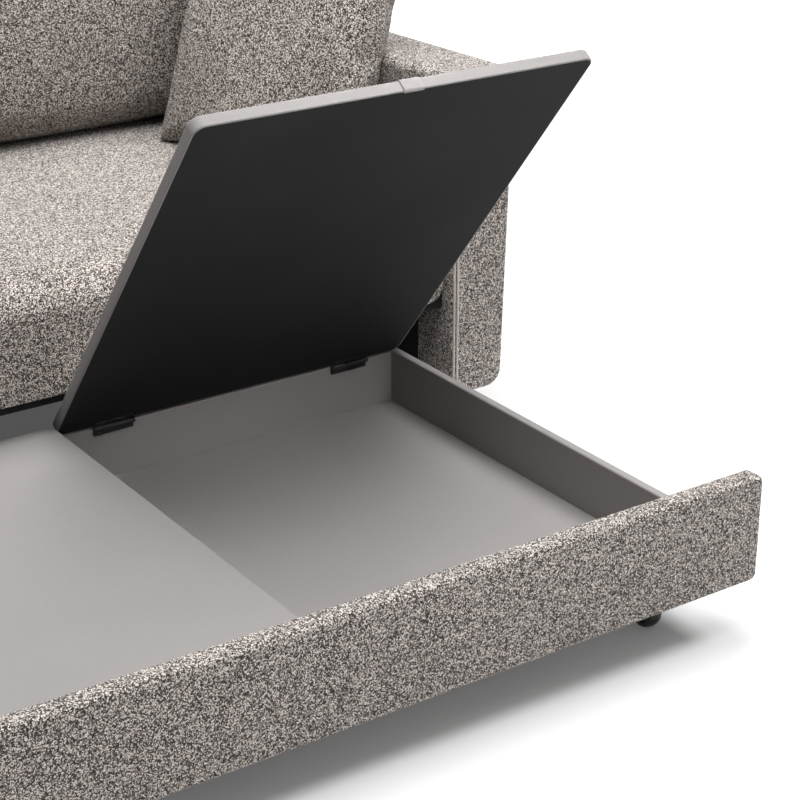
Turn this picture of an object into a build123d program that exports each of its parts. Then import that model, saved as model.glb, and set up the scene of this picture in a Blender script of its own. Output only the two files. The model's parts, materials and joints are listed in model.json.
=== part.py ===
from build123d import *
import math
import os

# Storage sofa bed: the drawer is pulled out in front and the right storage lid stands open.
# +X runs to the right as seen from the front, +Y to the back and +Z up, all in millimetres.
# The origin is on the floor, in the middle of the footprint.

# Lids, three in a row over the drawer
LID_WIDTH = 650.0
LID_DEPTH = 791.0
LID_BOARD = 15.0
LID_TOP_SKIN = 3.0
LID_SIDE_SKIN = 2.5
LID_BACKING = 1.0
LID_CORNER = 18.0
LID_TOP_EDGE = 4.0
LID_LOW_EDGE = 2.0
LID_GAP = 3.0
LID_OPEN = 50.8
LID_REST_CLEAR = 0.4
LID_FRONT_GAP = 4.5
LID_REAR_GAP = 4.0
LID_REVEAL = 2.5
LID_SIDES = {"left": -1, "centre": 0, "right": 1}
OPEN_LID = "right"

# Pull tab of webbing round each lid's free edge
TAB_WIDTH = 33.0
TAB_SHIFT = 10.0
TAB_THICK = 1.6
TAB_TOP_REACH = 38.0
TAB_LOW_REACH = 3.0
TAB_CLEAR = 0.2
TAB_NOTCH_CLEAR = 2.0

# Butt hinges between the lids and the drawer's rear wall
HINGE_WIDTH = 70.0
HINGE_OFFSET = 223.0
HINGE_LEAF = 2.0
HINGE_REACH = 13.0
HINGE_BARREL = 4.0
HINGE_BARREL_CLEAR = 0.5
HINGE_PIN = 2.0
HINGE_PIN_HEAD = 3.2
HINGE_PIN_HEAD_THICK = 1.5
HINGE_KNUCKLES = 5
HINGE_KNUCKLE_GAP = 0.5
HINGE_NOTCH_CLEAR = 0.6
PIN_FIXED_CLEAR = 0.02
PIN_RUN_CLEAR = 0.06

# Storage drawer
WALL = 15.0
WALL_HEIGHT = 94.5
WALL_ROUND = 3.0
REAR_WALL_DROP = 4.0
DRAWER_FLOOR = 8.0
DRAWER_TUCK = 55.0

# Upholstered front panel of the drawer
PANEL_THICK = 31.0
PANEL_OVERHANG = 63.0
PANEL_RISE = 64.0
PANEL_DROP = 0.5
PANEL_CORNER = 12.0
PANEL_FRONT_EDGE = 10.0
PANEL_BACK_EDGE = 5.0
PANEL_BOARD = 18.0
PANEL_BACK_PAD = 3.0
PANEL_EDGE_PAD = 8.0
PANEL_SIDE_CLEAR = 10.5
PANEL_BOLTS_PER_LID = 2

# Casters under the drawer
CASTER_HEIGHT = 79.5
CASTER_INSET = 64.0
WHEEL_RADIUS = 25.0
WHEEL_WIDTH = 22.0
WHEEL_CROWN = 3.0
WHEEL_RIM = 5.0
WHEEL_HUB = 9.0
WHEEL_WEB_INSET = 3.0
WHEEL_SIDE_CLEAR = 1.0
WHEEL_RUN_CLEAR = 0.05
AXLE_RADIUS = 3.0
AXLE_HEAD = 5.0
AXLE_HEAD_THICK = 2.0
FORK_PLATE = 3.0
FORK_PLATE_SIZE = 62.0
FORK_PLATE_CORNER = 8.0
FORK_CHEEK = 3.0
FORK_FOOT = 11.0
FORK_TOP_HALF = 24.0

# Arms
ARM_WIDTH = 110.0
ARM_FLARE = 1.9
ARM_HEIGHT = 660.0
ARM_TOP_FALL = 1.3
ARM_LOW_OUTER = 30.0
ARM_LOW_INNER = 10.0
ARM_TOP_OUTER = 16.0
ARM_TOP_INNER = 16.0
ARM_EDGE = 9.0
ARM_FRAME_THICK = 50.0
ARM_FRAME_PAD = 22.0
ARM_FRAME_END_PAD = 24.0
ARM_FRAME_RAIL = 70.0
ARM_LINING = 0.8
ARM_LINING_SETBACK = 100.0
ARM_LINING_LIFT = 12.0

# Feet under the arms
FOOT_HEIGHT = 90.0
FOOT_TOP_RADIUS = 26.0
FOOT_LOW_RADIUS = 19.0
FOOT_SETBACK = 44.0
FOOT_EASE = 3.0
GLIDE_THICK = 4.0
GLIDE_RADIUS = 16.0
FOOT_BOLT_RADIUS = 4.0
FOOT_BOLT_LENGTH = 70.0

# Seat frame and bench seat
SOFA_DEPTH = 980.0
PASS_CLEAR = 3.2
DUST_COVER = 0.8
LID_SEAT_CLEAR = 8.0
RAIL_HEIGHT = 52.0
RAIL_THICK = 28.0
CROSS_RAILS = 3
WEB_COUNT = 12
WEB_WIDTH = 70.0
WEB_THICK = 1.8
WEB_LAP = 22.0
SEAT_HEIGHT = 461.0
SEAT_LIP = 8.0
SEAT_LIP_ROUND = 5.0
STRIP_SHOW = 12.0
SEAT_CROWN_START = 218.0
SEAT_CROWN_DROP = 14.0
SEAT_NOSE_REACH = 68.0
SEAT_NOSE_DROP = 62.0
SEAT_END_ROUND = 36.0
SOFT_CLEAR = 0.3
FRAME_BOLT_RADIUS = 4.0
FRAME_BOLT_HEAD = 7.5
FRAME_BOLT_HEAD_THICK = 5.3
FRAME_BOLT_LENGTH = 72.0
FRAME_BOLTS_PER_SIDE = 3
BOLT_HOLE_CLEAR = 0.1

# Back and its cushions
BACK_THICK = 100.0
BACK_HEIGHT = 700.0
BACK_EDGE = 16.0
BACK_FRAME_THICK = 50.0
BACK_FRAME_PAD = 25.0
BACK_FRAME_RAIL = 80.0
BACK_FRAME_BAYS = 3
CUSHION_THICK = 228.0
CUSHION_CROWN = 14.0
CUSHION_HEIGHT = 372.0
CUSHION_TOP_CROWN = 10.0
CUSHION_ROUND = 38.0
CUSHION_END_DRAW = 26.0
CUSHION_GAP = 4.0
CUSHION_ARM_CLEAR = 3.0

# Throw pillow leaning in the right corner
PILLOW_SIZE = 445.0
PILLOW_THICK = 132.0
PILLOW_SEAM = 7.0
PILLOW_FULLNESS = 0.8
PILLOW_DRAW_IN = 14.0
PILLOW_LEAN = 20.0
PILLOW_TURN = 66.0
PILLOW_FROM_ARM = 258.0
PILLOW_FROM_BACK = 314.0

# Places worked out from the sizes above
drawer_half = 1.5 * LID_WIDTH + LID_GAP + LID_REVEAL
panel_half = drawer_half + PANEL_OVERHANG
arm_in = panel_half + PANEL_SIDE_CLEAR
wall_low = CASTER_HEIGHT + DRAWER_FLOOR
wall_top = wall_low + WALL_HEIGHT
panel_low = CASTER_HEIGHT - PANEL_DROP
panel_top = wall_top + PANEL_RISE
lid_under = wall_top + LID_REST_CLEAR
lid_thick = LID_BACKING + LID_BOARD + LID_TOP_SKIN
lid_pitch = LID_WIDTH + LID_GAP

reach = LID_DEPTH + LID_REAR_GAP + LID_FRONT_GAP + PANEL_THICK - DRAWER_TUCK
arm_front = (reach - SOFA_DEPTH) / 2
arm_back = arm_front + SOFA_DEPTH
rear_in = arm_front + DRAWER_TUCK
rear_out = rear_in + WALL
lid_rear = rear_in - LID_REAR_GAP
lid_front = lid_rear - LID_DEPTH
panel_back = lid_front - LID_FRONT_GAP
panel_front = panel_back - PANEL_THICK
inner_front = panel_back + WALL

pivot_y = rear_in - HINGE_BARREL - HINGE_BARREL_CLEAR
pivot_z = lid_under - HINGE_BARREL - HINGE_BARREL_CLEAR
hinge_axis = Axis((0, pivot_y, pivot_z), (1, 0, 0))

# The open lid's upper rear corner, which sets how far back the seat frame stands
swing = math.radians(LID_OPEN)
corner_y = lid_rear - pivot_y
corner_z = lid_under + lid_thick - pivot_z
open_y = pivot_y + corner_y * math.cos(swing) + corner_z * math.sin(swing)
open_z = pivot_z - corner_y * math.sin(swing) + corner_z * math.cos(swing)

frame_low = panel_top + PASS_CLEAR + DUST_COVER
rail_top = frame_low + RAIL_HEIGHT
rail_mid = frame_low + RAIL_HEIGHT / 2
rail_front = open_y - (frame_low - open_z) / math.tan(swing) + LID_SEAT_CLEAR
seat_front = rail_front - SEAT_LIP
seat_low = frame_low + STRIP_SHOW
deck = rail_top + WEB_THICK + SOFT_CLEAR
back_front = arm_back - BACK_THICK

arm_frame_in = arm_in + ARM_FRAME_PAD
arm_frame_out = arm_frame_in + ARM_FRAME_THICK
foot_x = arm_frame_in + ARM_FRAME_THICK / 2
foot_rows = {"front": arm_front + FOOT_SETBACK, "rear": arm_back - FOOT_SETBACK}
side_signs = {"left": -1, "right": 1}


def block(x0, x1, y0, y1, z0, z1):
    """A board cut square, between two corners."""
    outline = Pos((x0 + x1) / 2, (y0 + y1) / 2, z0) * Rectangle(x1 - x0, y1 - y0)
    return extrude(outline, z1 - z0)


def across(face, x0, x1):
    """A profile drawn in Y and Z, drawn out along X."""
    return extrude(Plane.YZ.offset(x0) * face, x1 - x0)


def along(face, y0, y1):
    """A profile drawn in X and Z, drawn out along Y."""
    return extrude(Plane.XZ.offset(-y0) * face, -(y1 - y0))


def rod(x0, x1, y, z, radius):
    """A round bar along X."""
    return across(Pos(y, z) * Circle(radius), x0, x1)


def outline(points, radii):
    """A closed outline with a rounded corner at each point."""
    return make_face(FilletPolyline(*points, radius=radii, close=True))


def group(pieces):
    """Separate solids kept together in one node."""
    return Compound([solid for piece in pieces for solid in piece.solids()])


def mirrored(piece):
    """The same piece on the sofa's left."""
    return mirror(piece, about=Plane.YZ)


def opened(piece):
    """A lid piece swung up about the hinge pins."""
    return piece.rotate(hinge_axis, -LID_OPEN)


# Storage lids

def lid_plan(skin):
    """A lid's outline in plan, drawn in from its edges by the skin."""
    corner = LID_CORNER - skin
    plan = RectangleRounded(LID_WIDTH - 2 * skin, LID_DEPTH - 2 * skin, corner)
    return Pos(0, (lid_front + lid_rear) / 2) * plan


def lid_cover():
    """Grey fabric over foam: the lid's top and edges, open below."""
    cover = extrude(Pos(0, 0, lid_under) * lid_plan(0), lid_thick)
    cover = fillet(cover.edges().group_by(Axis.Z)[-1], LID_TOP_EDGE)
    cover = fillet(cover.edges().group_by(Axis.Z)[0], LID_LOW_EDGE)
    pocket = extrude(Pos(0, 0, lid_under) * lid_plan(LID_SIDE_SKIN), LID_BACKING + LID_BOARD)
    return cover - pocket


def lid_board():
    """The lid's board, inside its cover."""
    return extrude(Pos(0, 0, lid_under + LID_BACKING) * lid_plan(LID_SIDE_SKIN), LID_BOARD)


def lid_backing():
    """Black non-woven sheet that closes the lid's underside."""
    return extrude(Pos(0, 0, lid_under) * lid_plan(LID_SIDE_SKIN), LID_BACKING)


def pull_tab():
    """Webbing folded round the lid's free edge."""
    stand_off = TAB_CLEAR + TAB_THICK / 2
    tab_top = lid_under + lid_thick + stand_off
    tab_low = lid_under - stand_off
    tab_front = lid_front - stand_off
    centre_line = FilletPolyline(
        (lid_front + TAB_TOP_REACH, tab_top),
        (tab_front, tab_top),
        (tab_front, tab_low),
        (lid_front + TAB_LOW_REACH, tab_low),
        radius=[LID_TOP_EDGE + stand_off, LID_LOW_EDGE + stand_off],
    )
    return across(trace(centre_line, TAB_THICK), TAB_SHIFT - TAB_WIDTH / 2, TAB_SHIFT + TAB_WIDTH / 2)


# Butt hinges

knuckle = HINGE_WIDTH / HINGE_KNUCKLES


def knuckle_span(number):
    """The ends along X of one knuckle of a hinge centred on X zero."""
    start = -HINGE_WIDTH / 2 + number * knuckle
    return start + HINGE_KNUCKLE_GAP / 2, start + knuckle - HINGE_KNUCKLE_GAP / 2


def hinge_leaf(plate, own, bore):
    """A leaf: its plate, cut away round the other leaf's knuckles, with its own knuckles and bore."""
    leaf = plate
    for number in range(HINGE_KNUCKLES):
        if number not in own:
            start = -HINGE_WIDTH / 2 + number * knuckle
            leaf -= rod(start, start + knuckle, pivot_y, pivot_z, HINGE_BARREL + HINGE_NOTCH_CLEAR)
    for number in own:
        leaf += rod(*knuckle_span(number), pivot_y, pivot_z, HINGE_BARREL)
    return leaf - rod(-HINGE_WIDTH, HINGE_WIDTH, pivot_y, pivot_z, bore)


def wall_leaf():
    """The leaf on the rear wall's inner face."""
    half = HINGE_WIDTH / 2
    plate = block(-half, half, rear_in - HINGE_LEAF, rear_in, pivot_z - HINGE_REACH, pivot_z)
    return hinge_leaf(plate, range(0, HINGE_KNUCKLES, 2), HINGE_PIN + PIN_FIXED_CLEAR)


def lid_leaf():
    """The leaf under the lid."""
    half = HINGE_WIDTH / 2
    plate = block(-half, half, pivot_y - HINGE_REACH, pivot_y, lid_under - HINGE_LEAF, lid_under)
    return hinge_leaf(plate, range(1, HINGE_KNUCKLES, 2), HINGE_PIN + PIN_RUN_CLEAR)


def hinge_pin():
    """The pin through a hinge's knuckles, with a head at each end."""
    half = HINGE_WIDTH / 2
    pin = rod(-half, half, pivot_y, pivot_z, HINGE_PIN)
    for start in (-half - HINGE_PIN_HEAD_THICK, half):
        pin += rod(start, start + HINGE_PIN_HEAD_THICK, pivot_y, pivot_z, HINGE_PIN_HEAD)
    return pin


# Storage drawer

def drawer_side_wall():
    """The right side wall, with its upper edges wrapped round."""
    wall = block(drawer_half - WALL, drawer_half, panel_back, rear_out, wall_low, wall_top)
    upper = wall.edges().filter_by(Axis.Y).group_by(Axis.Z)[-1]
    return fillet(upper, WALL_ROUND)


def drawer_rear_wall():
    """The rear wall, which carries the hinges and stands lower so that the lids swing over it."""
    inner = drawer_half - WALL
    wall = block(-inner, inner, rear_in, rear_out, wall_low, wall_top - REAR_WALL_DROP)
    upper = wall.edges().filter_by(Axis.X).group_by(Axis.Z)[-1]
    return fillet(upper, WALL_ROUND)


def drawer_front_wall():
    """The wall behind the front panel, notched for the pull tabs and drilled for the panel bolts."""
    inner = drawer_half - WALL
    wall = block(-inner, inner, panel_back, inner_front, wall_low, wall_top)
    notch_half = TAB_WIDTH / 2 + TAB_NOTCH_CLEAR
    notch_low = lid_under - TAB_CLEAR - TAB_THICK - TAB_NOTCH_CLEAR
    for side in LID_SIDES.values():
        middle = side * lid_pitch + TAB_SHIFT
        wall -= block(middle - notch_half, middle + notch_half, panel_back, inner_front, notch_low, wall_top)
    return wall - panel_bolt_holes()


def drawer_divider():
    """The right divider, under the gap between two lids."""
    middle = lid_pitch / 2
    wall = block(middle - WALL / 2, middle + WALL / 2, inner_front, rear_in, wall_low, wall_top)
    upper = wall.edges().filter_by(Axis.Y).group_by(Axis.Z)[-1]
    return fillet(upper, WALL_ROUND)


def drawer_floor():
    """The bottom board under all the walls."""
    return block(-drawer_half, drawer_half, panel_back, rear_out, CASTER_HEIGHT, wall_low)


# Front panel

board_back = panel_back - PANEL_BACK_PAD
panel_height = panel_top - panel_low
panel_mid = (panel_top + panel_low) / 2
bolt_z = (wall_low + wall_top) / 2


def panel_bolt_spots():
    """Where bolts join the drawer to its front panel, spread evenly behind each lid."""
    spots = []
    for side in LID_SIDES.values():
        for number in range(PANEL_BOLTS_PER_LID):
            share = (number + 0.5) / PANEL_BOLTS_PER_LID - 0.5
            spots.append(side * lid_pitch + share * LID_WIDTH)
    return spots


def panel_bolt_holes():
    """Clear holes for the panel bolts."""
    hole = Circle(FRAME_BOLT_RADIUS + BOLT_HOLE_CLEAR)
    faces = Sketch() + [Pos(x, bolt_z) * hole for x in panel_bolt_spots()]
    return along(faces, board_back - PANEL_BOARD, inner_front)


def panel_bolts():
    """Bolts from inside the drawer into the panel's board."""
    pieces = []
    for x in panel_bolt_spots():
        shank = along(Pos(x, bolt_z) * Circle(FRAME_BOLT_RADIUS), board_back - PANEL_BOARD, inner_front)
        hexagon = RegularPolygon(FRAME_BOLT_HEAD, 6)
        head = along(Pos(x, bolt_z) * hexagon, inner_front, inner_front + FRAME_BOLT_HEAD_THICK)
        pieces.append(shank + head)
    return group(pieces)


def panel_board():
    """The board inside the front panel."""
    half = panel_half - PANEL_EDGE_PAD
    low = panel_low + PANEL_EDGE_PAD
    high = panel_top - PANEL_EDGE_PAD
    return block(-half, half, board_back - PANEL_BOARD, board_back, low, high) - panel_bolt_holes()


def panel_cover():
    """Padded upholstery round the front panel's board."""
    face = Pos(0, panel_mid) * RectangleRounded(2 * panel_half, panel_height, PANEL_CORNER)
    cover = along(face, panel_front, panel_back)
    cover = fillet(cover.edges().group_by(Axis.Y)[0], PANEL_FRONT_EDGE)
    cover = fillet(cover.edges().group_by(Axis.Y)[-1], PANEL_BACK_EDGE)
    half = panel_half - PANEL_EDGE_PAD
    low = panel_low + PANEL_EDGE_PAD
    high = panel_top - PANEL_EDGE_PAD
    pocket = block(-half, half, board_back - PANEL_BOARD, board_back, low, high)
    return cover - pocket - panel_bolt_holes()


# Casters, modelled at X and Y zero and set out under the drawer

cheek_in = WHEEL_WIDTH / 2 + WHEEL_SIDE_CLEAR
cheek_out = cheek_in + FORK_CHEEK
fork_top = CASTER_HEIGHT - FORK_PLATE
caster_x = drawer_half - CASTER_INSET
caster_rows = {"front": panel_back + CASTER_INSET, "rear": rear_out - CASTER_INSET}
caster_spots = {
    f"{row}_{side}": (sign * caster_x, y)
    for row, y in caster_rows.items()
    for side, sign in side_signs.items()
}


def caster_fork():
    """A fixed caster's plate with two tapered cheeks that hold the axle."""
    plate = RectangleRounded(FORK_PLATE_SIZE, FORK_PLATE_SIZE, FORK_PLATE_CORNER)
    fork = extrude(Pos(0, 0, fork_top) * plate, FORK_PLATE)
    cheek = make_hull(
        [
            *(Pos(0, WHEEL_RADIUS) * Circle(FORK_FOOT)).edges(),
            *(Pos(0, fork_top - FORK_PLATE) * Rectangle(2 * FORK_TOP_HALF, 2 * FORK_PLATE)).edges(),
        ]
    )
    for start in (-cheek_out, cheek_in):
        fork += across(cheek, start, start + FORK_CHEEK)
    return fork - rod(-cheek_out, cheek_out, 0, WHEEL_RADIUS, AXLE_RADIUS + PIN_FIXED_CLEAR)


def caster_axle():
    """A riveted axle through the cheeks."""
    axle = rod(-cheek_out, cheek_out, 0, WHEEL_RADIUS, AXLE_RADIUS)
    for start in (-cheek_out - AXLE_HEAD_THICK, cheek_out):
        axle += rod(start, start + AXLE_HEAD_THICK, 0, WHEEL_RADIUS, AXLE_HEAD)
    return axle


def caster_wheel():
    """A moulded wheel with a crowned tread and a recessed web, turned about its axle."""
    half = WHEEL_WIDTH / 2
    bore = AXLE_RADIUS + WHEEL_RUN_CLEAR
    shoulder = WHEEL_RADIUS - WHEEL_CROWN
    rim = shoulder - WHEEL_RIM
    web = half - WHEEL_WEB_INSET
    left = [(-half, shoulder), (-half, rim), (-web, rim), (-web, WHEEL_HUB), (-half, WHEEL_HUB), (-half, bore)]
    right = [(-x, r) for x, r in reversed(left)]
    tread = ThreePointArc((half, shoulder), (0, WHEEL_RADIUS), (-half, shoulder))
    section = make_face([*Polyline(*left, *right).edges(), tread.edge()])
    return Pos(0, 0, WHEEL_RADIUS) * revolve(section, Axis.X)


# Arms

def arm_face(top):
    """The right arm seen from the front, with its outer side flaring out to the top."""
    foot_out = arm_in + ARM_WIDTH
    top_out = foot_out + (top - FOOT_HEIGHT) * math.tan(math.radians(ARM_FLARE))
    points = [(arm_in, FOOT_HEIGHT), (foot_out, FOOT_HEIGHT), (top_out, top), (arm_in, top)]
    return outline(points, [ARM_LOW_INNER, ARM_LOW_OUTER, ARM_TOP_OUTER, ARM_TOP_INNER])


arm_fall = math.tan(math.radians(ARM_TOP_FALL))
arm_back_top = ARM_HEIGHT - SOFA_DEPTH * arm_fall


def frame_bolt_spots():
    """Where bolts hold each arm to the seat frame, along its side rail."""
    first = rail_front + RAIL_THICK
    run = back_front - RAIL_THICK - first
    return [first + run * (number + 0.5) / FRAME_BOLTS_PER_SIDE for number in range(FRAME_BOLTS_PER_SIDE)]


def frame_bolt_shank(y, radius):
    """A bolt's shank, or its clear hole, through the right side rail into the arm's frame."""
    inner = arm_in - RAIL_THICK
    return rod(inner, inner + FRAME_BOLT_LENGTH, y, rail_mid, radius)


def frame_bolt_holes():
    """Clear holes for the bolts of the right arm."""
    return Part() + [frame_bolt_shank(y, FRAME_BOLT_RADIUS + BOLT_HOLE_CLEAR) for y in frame_bolt_spots()]


def frame_bolts():
    """Hexagon bolts that hold both arms to the seat frame."""
    pieces = []
    inner = arm_in - RAIL_THICK
    for y in frame_bolt_spots():
        hexagon = Pos(y, rail_mid) * RegularPolygon(FRAME_BOLT_HEAD, 6)
        bolt = frame_bolt_shank(y, FRAME_BOLT_RADIUS) + across(hexagon, inner - FRAME_BOLT_HEAD_THICK, inner)
        pieces += [bolt, mirrored(bolt)]
    return group(pieces)


def foot_bolt(y, radius):
    """A hanger bolt, or its hole, half in the foot and half in the arm's frame."""
    low = FOOT_HEIGHT - FOOT_BOLT_LENGTH / 2
    return Pos(foot_x, y, low) * extrude(Circle(radius), FOOT_BOLT_LENGTH)


def foot_bolt_holes():
    """Holes for the hanger bolts of the right arm."""
    radius = FOOT_BOLT_RADIUS + BOLT_HOLE_CLEAR
    return Part() + [foot_bolt(y, radius) for y in foot_rows.values()]


def arm_frame_side():
    """The arm's timber frame seen from the side."""
    front = arm_front + ARM_FRAME_END_PAD
    rear = arm_back - ARM_FRAME_END_PAD
    front_top = ARM_HEIGHT - ARM_FRAME_PAD - ARM_FRAME_END_PAD * arm_fall
    rear_top = arm_back_top - ARM_FRAME_PAD + ARM_FRAME_END_PAD * arm_fall
    return make_face(Polyline((front, FOOT_HEIGHT), (rear, FOOT_HEIGHT), (rear, rear_top), (front, front_top), close=True))


def arm_frame():
    """Posts and rails of the arm, with a middle rail where the seat frame is bolted on."""
    side = arm_frame_side()
    front = arm_front + ARM_FRAME_END_PAD + ARM_FRAME_RAIL
    rear = arm_back - ARM_FRAME_END_PAD - ARM_FRAME_RAIL
    middle = (front + rear) / 2
    window = (rear - front - ARM_FRAME_RAIL) / 2
    lower = FOOT_HEIGHT + ARM_FRAME_RAIL, rail_mid - ARM_FRAME_RAIL / 2
    upper = rail_mid + ARM_FRAME_RAIL / 2, arm_back_top - ARM_FRAME_PAD - ARM_FRAME_RAIL
    for low, high in (lower, upper):
        for sign in (-1, 1):
            centre = middle + sign * (window + ARM_FRAME_RAIL) / 2
            side -= Pos(centre, (low + high) / 2) * Rectangle(window, high - low)
    frame = across(side, arm_frame_in, arm_frame_out)
    return frame - frame_bolt_holes() - foot_bolt_holes()


def arm_cover():
    """Foam and upholstery of the right arm, open below where the frame meets the feet."""
    front = Plane.XZ.offset(-arm_front) * arm_face(ARM_HEIGHT)
    back = Plane.XZ.offset(-arm_back) * arm_face(arm_back_top)
    cover = loft([front, back], ruled=True)
    cover = fillet(cover.edges().group_by(Axis.Y)[0], ARM_EDGE)
    cover = fillet(cover.edges().group_by(Axis.Y)[-1], ARM_EDGE)
    return cover - across(arm_frame_side(), arm_frame_in, arm_frame_out) - frame_bolt_holes()


def arm_lining():
    """Black lining on the right arm's inner side, under the seat."""
    front = arm_front + ARM_LINING_SETBACK
    low = FOOT_HEIGHT + ARM_LINING_LIFT
    high = frame_low - DUST_COVER - ARM_LINING
    return block(arm_in - ARM_LINING, arm_in, front, back_front, low, high)


# Feet

def foot(y):
    """A tapered wooden foot on the sofa's right."""
    low = GLIDE_THICK
    profile = outline(
        [(0, low), (FOOT_LOW_RADIUS, low), (FOOT_TOP_RADIUS, FOOT_HEIGHT), (0, FOOT_HEIGHT)],
        [0, FOOT_EASE, 0, 0],
    )
    body = revolve(Plane.XZ * profile, Axis.Z)
    return Pos(foot_x, y) * body - foot_bolt(y, FOOT_BOLT_RADIUS + BOLT_HOLE_CLEAR)


def glide(y):
    """A plastic glide under a foot."""
    return Pos(foot_x, y) * extrude(Circle(GLIDE_RADIUS), GLIDE_THICK)


# Seat frame

def front_rail():
    """The rail under the seat's front edge, whose lower edge shows as a black strip."""
    return block(-arm_in, arm_in, rail_front, rail_front + RAIL_THICK, frame_low, rail_top)


def rear_rail():
    """The rail along the back."""
    return block(-arm_in, arm_in, back_front - RAIL_THICK, back_front, frame_low, rail_top)


def side_rail():
    """The right side rail, drilled for the arm's bolts."""
    front = rail_front + RAIL_THICK
    rail = block(arm_in - RAIL_THICK, arm_in, front, back_front - RAIL_THICK, frame_low, rail_top)
    return rail - frame_bolt_holes()


def cross_rails():
    """Rails from front to back between the sides."""
    front = rail_front + RAIL_THICK
    half = RAIL_THICK / 2
    pitch = 2 * arm_in / (CROSS_RAILS + 1)
    places = [(number + 1) * pitch - arm_in for number in range(CROSS_RAILS)]
    return group([block(x - half, x + half, front, back_front - RAIL_THICK, frame_low, rail_top) for x in places])


def seat_webbing():
    """Elastic bands stretched from the front rail to the rear rail."""
    pitch = 2 * arm_in / WEB_COUNT
    places = [(number + 0.5) * pitch - arm_in for number in range(WEB_COUNT)]
    front = rail_front + RAIL_THICK - WEB_LAP
    back = back_front - RAIL_THICK + WEB_LAP
    half = WEB_WIDTH / 2
    return group([block(x - half, x + half, front, back, rail_top, rail_top + WEB_THICK) for x in places])


def dust_cover():
    """Black sheet that closes the seat frame from below."""
    return block(-arm_in, arm_in, rail_front, back_front, frame_low - DUST_COVER, frame_low)


# Bench seat

def bench_section(x, draw):
    """The bench seat's section, with its top and its lip drawn in towards an end."""
    top = SEAT_HEIGHT - draw
    low = seat_low + draw
    back = back_front - SOFT_CLEAR
    inner = rail_front - SOFT_CLEAR
    crown = seat_front + SEAT_CROWN_START
    nose = seat_front + SEAT_NOSE_REACH
    nose_top = top - SEAT_CROWN_DROP
    face_top = nose_top - SEAT_NOSE_DROP
    lip = SEAT_LIP_ROUND
    bevel = lip * (1 - math.sqrt(0.5))
    nose_mid = seat_front + SEAT_NOSE_REACH * 0.28, nose_top - SEAT_NOSE_DROP * 0.36
    crown_mid = (crown + nose) / 2, top - SEAT_CROWN_DROP * 0.27
    edges = [
        Line((back, deck), (back, top)),
        Line((back, top), (crown, top)),
        ThreePointArc((crown, top), crown_mid, (nose, nose_top)),
        ThreePointArc((nose, nose_top), nose_mid, (seat_front, face_top)),
        Line((seat_front, face_top), (seat_front, low + lip)),
        ThreePointArc((seat_front, low + lip), (seat_front + bevel, low + bevel), (seat_front + lip, low)),
        Line((seat_front + lip, low), (inner, low)),
        Line((inner, low), (inner, deck)),
        Line((inner, deck), (back, deck)),
    ]
    return Plane.YZ.offset(x) * make_face(edges)


def bench_seat():
    """One bench cushion with a waterfall front and rounded ends, wrapped down over the front rail."""
    half = arm_in - SOFT_CLEAR
    turns = [90, 64, 40, 18]
    rings = [(half - SEAT_END_ROUND * (1 - math.cos(math.radians(t))),
              SEAT_END_ROUND * (1 - math.sin(math.radians(t)))) for t in turns]
    body = extrude(bench_section(-rings[0][0], 0), 2 * rings[0][0])
    end = loft([bench_section(x, draw) for x, draw in rings], ruled=True)
    return body + end + mirrored(end)


# Back

def back_frame():
    """The back's timber frame with open bays."""
    half = arm_in - BACK_FRAME_PAD
    high = BACK_HEIGHT - BACK_FRAME_PAD
    face = Pos(0, (FOOT_HEIGHT + high) / 2) * Rectangle(2 * half, high - FOOT_HEIGHT)
    bay = (2 * half - BACK_FRAME_RAIL) / BACK_FRAME_BAYS
    low_edge = FOOT_HEIGHT + BACK_FRAME_RAIL
    high_edge = high - BACK_FRAME_RAIL
    for number in range(BACK_FRAME_BAYS):
        centre = -half + BACK_FRAME_RAIL / 2 + bay * (number + 0.5)
        face -= Pos(centre, (low_edge + high_edge) / 2) * Rectangle(bay - BACK_FRAME_RAIL, high_edge - low_edge)
    front = back_front + BACK_FRAME_PAD
    return along(face, front, front + BACK_FRAME_THICK)


def back_cover():
    """Foam and upholstery of the back, open below."""
    cover = block(-arm_in, arm_in, back_front, arm_back, FOOT_HEIGHT, BACK_HEIGHT)
    cover = fillet(cover.edges().filter_by(Axis.X).group_by(Axis.Z)[-1], BACK_EDGE)
    half = arm_in - BACK_FRAME_PAD
    front = back_front + BACK_FRAME_PAD
    high = BACK_HEIGHT - BACK_FRAME_PAD
    return cover - block(-half, half, front, front + BACK_FRAME_THICK, FOOT_HEIGHT, high)


# Loose cushions

cushion_back = back_front - SOFT_CLEAR
cushion_low = SEAT_HEIGHT + SOFT_CLEAR
cushion_end = arm_in - CUSHION_ARM_CLEAR


def cushion_section(x, draw):
    """A back cushion's section: a crowned front and top, drawn in towards the ends."""
    back = cushion_back - draw * 0.4
    front = cushion_back - CUSHION_THICK + draw
    low = cushion_low + draw * 0.3
    high = cushion_low + CUSHION_HEIGHT - draw
    turn = CUSHION_ROUND
    cut = turn * (1 - math.sqrt(0.5))
    bulge = CUSHION_CROWN * (1 - draw / CUSHION_END_DRAW)
    rise = CUSHION_TOP_CROWN * (1 - draw / CUSHION_END_DRAW)
    middle = (low + high) / 2
    edges = [
        ThreePointArc((front, low + turn), (front - bulge - 0.5, middle), (front, high - turn)),
        ThreePointArc((front, high - turn), (front + cut, high - cut), (front + turn, high)),
        ThreePointArc((front + turn, high), ((front + back) / 2, high + rise + 0.5), (back - turn, high)),
        ThreePointArc((back - turn, high), (back - cut, high - cut), (back, high - turn)),
        Line((back, high - turn), (back, low + turn)),
        ThreePointArc((back, low + turn), (back - cut, low + cut), (back - turn, low)),
        Line((back - turn, low), (front + turn, low)),
        ThreePointArc((front + turn, low), (front + cut, low + cut), (front, low + turn)),
    ]
    return Plane.YZ.offset(x) * make_face(edges)


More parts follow.
